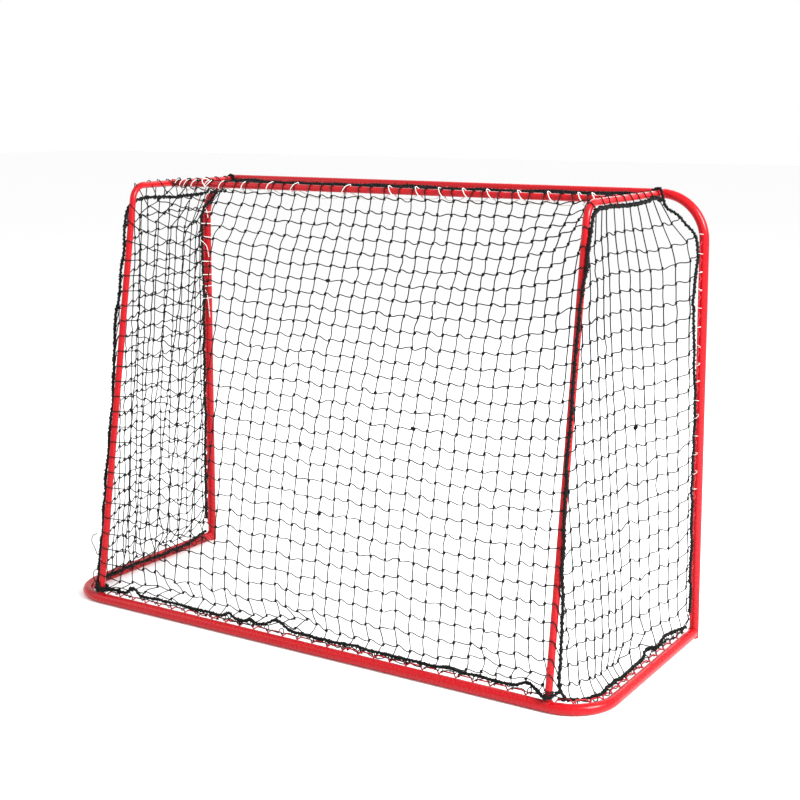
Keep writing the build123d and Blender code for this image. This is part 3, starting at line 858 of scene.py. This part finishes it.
def tails(shape, line, radius, count, seed):
    """Short cut ends of twine that stand off a rope."""
    source = np.random.default_rng(seed)
    for _ in range(count):
        at = source.integers(4, len(line) - 4)
        aim = unit(source.normal(0, 1, 3))
        end = line[at] + aim * source.uniform(0.007, 0.012)
        middle = (line[at] + end) / 2 + source.normal(0, 0.0015, 3)
        tubes(shape, smooth([line[at], middle, end], 5)[None], TIE_R, 4)


ROPE_LAY = 0.024  # length of one turn of a rope's strands
BINDING_PITCH = 0.013


def rope(line, radius, seed):
    """One rope with the twine that is bound round it."""
    shape = Shape()
    twist(shape, line, radius, ROPE_LAY, seed=seed)
    bind(shape, line, radius * 1.12, BINDING_PITCH, seed + 50)
    tails(shape, line, radius, max(3, int(len(line) / 30)), seed + 90)
    return shape


def nearest_tangent(line, place):
    at = np.argmin(np.linalg.norm(line - place, axis=1))
    at = min(max(at, 1), len(line) - 2)
    return line[at + 1] - line[at - 1]


# The mouth rope is three pieces, which overlap by 5 mm at the upper corners
every_rope = {
    "left_seam_rope": seam_lines["left"],
    "right_seam_rope": seam_lines["right"],
    "rear_border_rope": rear_line,
    "left_border_rope": side_lines["left"],
    "right_border_rope": side_lines["right"],
    "left_mouth_rope": mouth_line[mouth_line[:, 0] > HALF_WIDTH - 0.125],
    "right_mouth_rope": mouth_line[mouth_line[:, 0] < -(HALF_WIDTH - 0.125)],
    "top_mouth_rope": mouth_line[np.abs(mouth_line[:, 0]) <= HALF_WIDTH - 0.12],
}
DRAWN_R = {name: ROPE_R * 1.04 for name in every_rope}
DRAWN_R["left_seam_rope"] = DRAWN_R["right_seam_rope"] = SEAM_R * 0.88
DRAWN_R["top_mouth_rope"] = ROPE_R * 1.45  # thick with gathered net
rope_pieces = {
    name: rope(line, DRAWN_R[name], seed) for seed, (name, line) in enumerate(every_rope.items(), 1)
}

for a, b, *_ in bars:  # each bar that ends on a rope is tied to it
    for end in (a, b):
        if held[end]:
            place = places[end]
            name = min(every_rope, key=lambda n: np.linalg.norm(every_rope[n] - place, axis=1).min())
            radius = (SEAM_R if "seam" in name else ROPE_R) * 1.15
            tie_ring(rope_pieces[name], place, nearest_tangent(every_rope[name], place), radius)

# ---- white lacing, black lacing and ties
# Gaps between turns of the white cord on the rear top bar, from left to right, in millimetres
LACING_GAPS = (14, 19, 19, 27, 48, 54, 79, 88, 86, 172, 128, 83, 70, 71, 70, 88, 83, 82, 37)

# One turn of that cord: degrees about the bar's axis, and how far along its slant it has gone
CORD_TURN = ((-175, 0.3), (120, 0.0), (85, -0.1), (40, 0.25), (0, 0.55), (-45, 0.9), (-100, 1.0), (-150, 0.6))


def rear_bar_lacing():
    """White cord wound round the rear top bar, slack under it between the turns."""
    lie = STAY_R + 2 * TWINE_R + LACE_R
    x, points = STAY_X - 0.012, []
    for n, gap in enumerate(LACING_GAPS):
        x -= gap / 1000
        slant = (0.017 if x > 0 else -0.019) * rng.uniform(0.8, 1.2)
        for turn, shift in CORD_TURN:
            t = math.radians(turn)
            points.append((x + slant * shift, BAR_Y + lie * math.cos(t), BAR_Z + lie * math.sin(t)))
        if n + 1 < len(LACING_GAPS):
            ahead = LACING_GAPS[n + 1] / 1000
            sag = 0.004 + 0.09 * max(0.0, ahead - 0.07) + 0.002 * rng.random()
            for share in (0.3, 0.6, 0.85):
                dip = sag * math.sin(math.pi * share)
                points.append((x - ahead * share, BAR_Y - 0.3 * lie, BAR_Z - lie - dip))
    shape = Shape()
    twist(shape, smooth(points, 1500), LACE_R, 0.007, seed=61, sides=4)
    shape.object("rear_bar_white_cord", WHITE, ["rear_bar_lacing"], "white_cord")


CROSSED_X = 0.563  # where the left post's cord crosses over itself on the rear top bar
# Top and bottom of the slack lengths of cord down the left post
SLACK_STRANDS = ((1.100, 1.035), (0.986, 0.916), (0.867, 0.725))


def post_loop(z, tilt, radius, front, half_x):
    """One turn of cord from a place in front of a rope to behind it, as offsets from the post's axis."""
    t = np.linspace(0, 2 * math.pi, 17)[:-1]
    half_y = (MOUTH_ROPE_Y - MOUTH_Y + ROPE_R * 1.3 - front) / 2 + radius
    x = np.sign(np.cos(t)) * np.abs(np.cos(t)) ** 0.8 * half_x
    y = np.sign(np.sin(t)) * np.abs(np.sin(t)) ** 0.8 * half_y + half_y + front - radius
    return np.stack([x, y, z + tilt * np.sin(t)], axis=1)


def post_lacing(side, heights, radius):
    """White cord round the left post, or through the right post's wire."""
    front, half_x = {"left": (-MOUTH_R, MOUTH_R + radius), "right": (1.25 * MOUTH_R, ROPE_R * 1.15)}[side]
    sign, shape = SIDES[side], Shape()
    rungs = []
    for z in heights + rng.normal(0, 0.0015, len(heights)):
        loop = post_loop(z, rng.normal(0.001, 0.003), radius, front, half_x)
        loop[:, 0] = loop[:, 0] * sign + sign * HALF_WIDTH
        loop[:, 1] += MOUTH_Y
        rungs.append(loop)
    tubes(shape, np.array(rungs), radius, 5, closed=True)
    if side == "left":
        behind, beside = MOUTH_ROPE_Y + ROPE_R + 2 * radius, MOUTH_Y + 0.011
        for top, bottom in SLACK_STRANDS:
            line = [(HALF_WIDTH - 0.001, behind, top + 0.004),
                    (HALF_WIDTH - 0.004, behind, top - 0.2 * (top - bottom)),
                    (HALF_WIDTH - 0.013, MOUTH_Y + 0.020, (top + bottom) / 2),
                    (HALF_WIDTH - 0.0145, beside, bottom)]
            tubes(shape, smooth(line, 24)[None], radius, 5)
        lead = [(CROSSED_X - 0.004, BAR_Y + STAY_R, BAR_Z - 0.006),
                (CROSSED_X + 0.05, BAR_Y - 0.06, BAR_Z - 0.030),
                (HALF_WIDTH - 0.02, MOUTH_ROPE_Y + 0.03, BAR_Z - 0.050),
                (HALF_WIDTH - 0.001, behind, SLACK_STRANDS[0][0] + 0.004)]
        tubes(shape, smooth(lead, 40)[None], radius, 5)
        for lean in (-1, 1):  # two crossed turns round the rear top bar
            t = np.linspace(0, 2 * math.pi, 19)[:-1]
            reach = STAY_R + 2 * TWINE_R + (2.2 + lean) * radius
            ring = np.stack([CROSSED_X + lean * 0.016 * np.sin(t + 0.3), BAR_Y + reach * np.cos(t),
                             BAR_Z + reach * np.sin(t)], axis=1)
            tubes(shape, ring[None], radius, 5, closed=True)
    shape.object(f"{side}_post_white_cord", WHITE, [f"{side}_post_lacing"], "white_cord")


WAVE = 0.048  # from crest to crest of the net wire
LACE_DROP, LACE_OUT = 0.0035, 0.0025  # the cord's middle lies this far under and outside the rope's


def lace_to_wire(shape, line, first, seed):
    """Black cord that goes round the rope and the wire's crest at each wave, and along between."""
    source = np.random.default_rng(seed)
    length, along = line_length(line), lengths_along(line)
    tangents = unit(np.gradient(line, axis=0))
    points = []
    at = first
    while at < length - 0.012:
        spot, tangent = at_length(line, along, at), at_length(tangents, along, at)
        level = unit(np.cross(tangent, [0, 0, 1.0]))
        turn0 = source.uniform(-0.3, 0.3)
        size = source.uniform(0.0066, 0.0078)
        for k in range(9):
            t = turn0 + k / 8 * 2 * math.pi
            off = (level * math.cos(t) + np.array([0, 0, 1.0]) * math.sin(t)) * size
            points.append(spot + tangent * (k - 4) * 0.0011 + off)
        sway = level * 0.004 * source.normal()
        rise = np.array([0, 0, 0.002 * source.normal()])
        points.append(spot + tangent * WAVE / 2 + sway + rise)
        at += WAVE
    tubes(shape, smooth(points, 5 * len(points))[None], TIE_R * 1.15, 5)


def base_lacing():
    """Three lengths of black cord, along the rear bar and round each side of the base."""
    shape = Shape()
    x = np.linspace(STAY_X - 0.03, -STAY_X + 0.03, 240)
    lace_y, lace_z = ROPE_Y + LACE_OUT, ROPE_Z - LACE_DROP
    lace_to_wire(shape, np.stack([x, np.full(240, lace_y), np.full(240, lace_z)], axis=1), 0.012, 71)
    side_lace_z = lace_z - ROPE_Z + SIDE_ROPE_Z
    for side, sign in SIDES.items():
        front = np.array([sign * (SIDE_ROPE_X + LACE_OUT), MOUTH_ROPE_Y + 0.02, side_lace_z])
        turns = [corner_point(sign, turn, side_lace_z, BEND + LACE_OUT) for turn in (3, 22, 45, 68, 85)]
        line = smooth([front, front + [0, 0.2, 0], front + [0, 0.36, 0], *turns], 240)
        lace_to_wire(shape, line, 0.02, 72 + sign)
    shape.object("base_black_cord", ROPE, ["base_lacing"], "net_rope")


def foot_lashings():
    """Rope looped round the left stay's foot, and a thin tie at the right one."""
    shape = Shape()
    foot = np.array([STAY_X, stay_y(ROPE_Z), ROPE_Z])
    t = np.linspace(0, 2 * math.pi * 2.3, 70)
    swell = 0.0150 + 0.0022 * np.sin(0.8 * t)
    coil = np.stack([foot[0] + swell * np.cos(t), foot[1] - 0.002 + swell * np.sin(t),
                     foot[2] + 0.0015 + 0.0032 * t / 3 + 0.006 * np.cos(t - 0.5)], axis=1)
    twist(shape, coil, 0.0034, 0.016, seed=81)
    bind(shape, coil, 0.0038, 0.014, 82)
    for height, reach in ((0.160, 0.020), (0.058, 0.018)):  # slack loops of twine off the rope
        base = foot + [0.014, -0.004, height]
        loop = [base, base + [reach * 0.7, 0.004, -0.008], base + [reach, 0.002, -0.026],
                base + [reach * 0.55, 0.0, -0.045], base + [0.0, 0.002, -0.062]]
        tubes(shape, smooth(loop, 26)[None], TIE_R * 1.1, 5)
    t = np.linspace(0, 2 * math.pi, 15)[:-1]  # and a small closed one above them
    ring = np.stack([0.006 * np.cos(t), 0.002 * np.sin(2 * t), 0.006 * np.sin(t)], axis=1)
    tubes(shape, (foot + [0.020, -0.042, 0.262] + ring)[None], TIE_R, 5, closed=True)
    shape.object("left_foot_rope_loop", ROPE, ["left_foot_lashing"], "net_rope")
    shape = Shape()
    foot = np.array([-STAY_X, stay_y(ROPE_Z), ROPE_Z])
    t = np.linspace(0, 2 * math.pi * 3, 60)
    coil = np.stack([foot[0] + 0.0116 * np.cos(t), foot[1] + 0.0116 * np.sin(t),
                     foot[2] - 0.002 + 0.0024 * t / 3], axis=1)
    away = smooth([coil[-1], foot + [-0.022, -0.012, -0.001], foot + [-0.042, -0.022, -0.006],
                   foot + [-0.060, -0.034, -0.012]], 20)
    tubes(shape, coil[None], TIE_R * 1.1, 5)
    tubes(shape, away[None], TIE_R * 1.1, 5)
    shape.object("right_foot_tie", ROPE, ["right_foot_lashing"], "net_rope")


rear_bar_lacing()
post_lacing("left", np.delete(np.arange(1.095, 0.75, -0.0385), 4), LACE_R)
post_lacing("right", np.arange(CROSSBAR_Z - 0.10, CROSSBAR_Z - 0.80, -0.047), 0.0006)
base_lacing()
foot_lashings()

for panel, node in (("back", "back_net"), ("top", "top_net"), ("left", "left_net"), ("right", "right_net")):
    shapes[panel].object(f"{node}_twine", TWINE, [node], "net_twine")
for name, shape in rope_pieces.items():
    shape.object(f"{name}_laid", ROPE, [name], "net_rope")

# ---- stage, light and camera
def stage():
    """A pale floor, soft light from above and from both sides, and a bright even background."""
    mesh = bpy.data.meshes.new("floor")
    far = 30.0
    corners = [(-far, -far, 0), (far, -far, 0), (far, far, 0), (-far, far, 0)]
    mesh.from_pydata(corners, [], [(0, 1, 2, 3)])
    floor = bpy.data.objects.new("floor", mesh)
    bpy.context.collection.objects.link(floor)
    made, _, shader, _ = material("pale_floor")
    shader.inputs["Base Color"].default_value = (0.97, 0.97, 0.97, 1)
    shader.inputs["Roughness"].default_value = 0.9
    shader.inputs["Specular IOR Level"].default_value = 0.1
    mesh.materials.append(made)
    world = bpy.data.worlds.new("studio")
    bpy.context.scene.world = world
    world.use_nodes = True
    world.node_tree.nodes["Background"].inputs["Color"].default_value = (1, 1, 1, 1)
    world.node_tree.nodes["Background"].inputs["Strength"].default_value = 1.0
    for name, place, size, power in (
        ("key", (-4.0, 0.5, 3.0), 1.8, 420),
        ("fill", (3.5, 2.5, 2.6), 2.6, 40),
        ("front", (0.5, -3.5, 3.0), 3.0, 60),
    ):
        data = bpy.data.lights.new(name, "AREA")
        data.size, data.energy = size, power
        light = bpy.data.objects.new(name, data)
        light.location = place
        light.rotation_euler = (Vector((0, 0, 0.5)) - Vector(place)).to_track_quat("-Z", "Y").to_euler()
        bpy.context.collection.objects.link(light)


def camera():
    """Behind the goal and to its right, a little above the crossbar."""
    data = bpy.data.cameras.new("camera")
    data.sensor_width = 36.0
    data.lens = 64.7
    data.shift_y = -0.1375
    eye = bpy.data.objects.new("camera", data)
    eye.location = (-2.086, MOUTH_Y + 3.490, 1.386)
    turn, tip = 0.5593, 0.1276  # radians from straight through the goal, and down
    aim = Vector((math.sin(turn) * math.cos(tip), -math.cos(turn) * math.cos(tip), -math.sin(tip)))
    eye.rotation_euler = aim.to_track_quat("-Z", "Y").to_euler()
    bpy.context.collection.objects.link(eye)
    bpy.context.scene.camera = eye
    bpy.context.scene.view_settings.view_transform = "Standard"


stage()
camera()
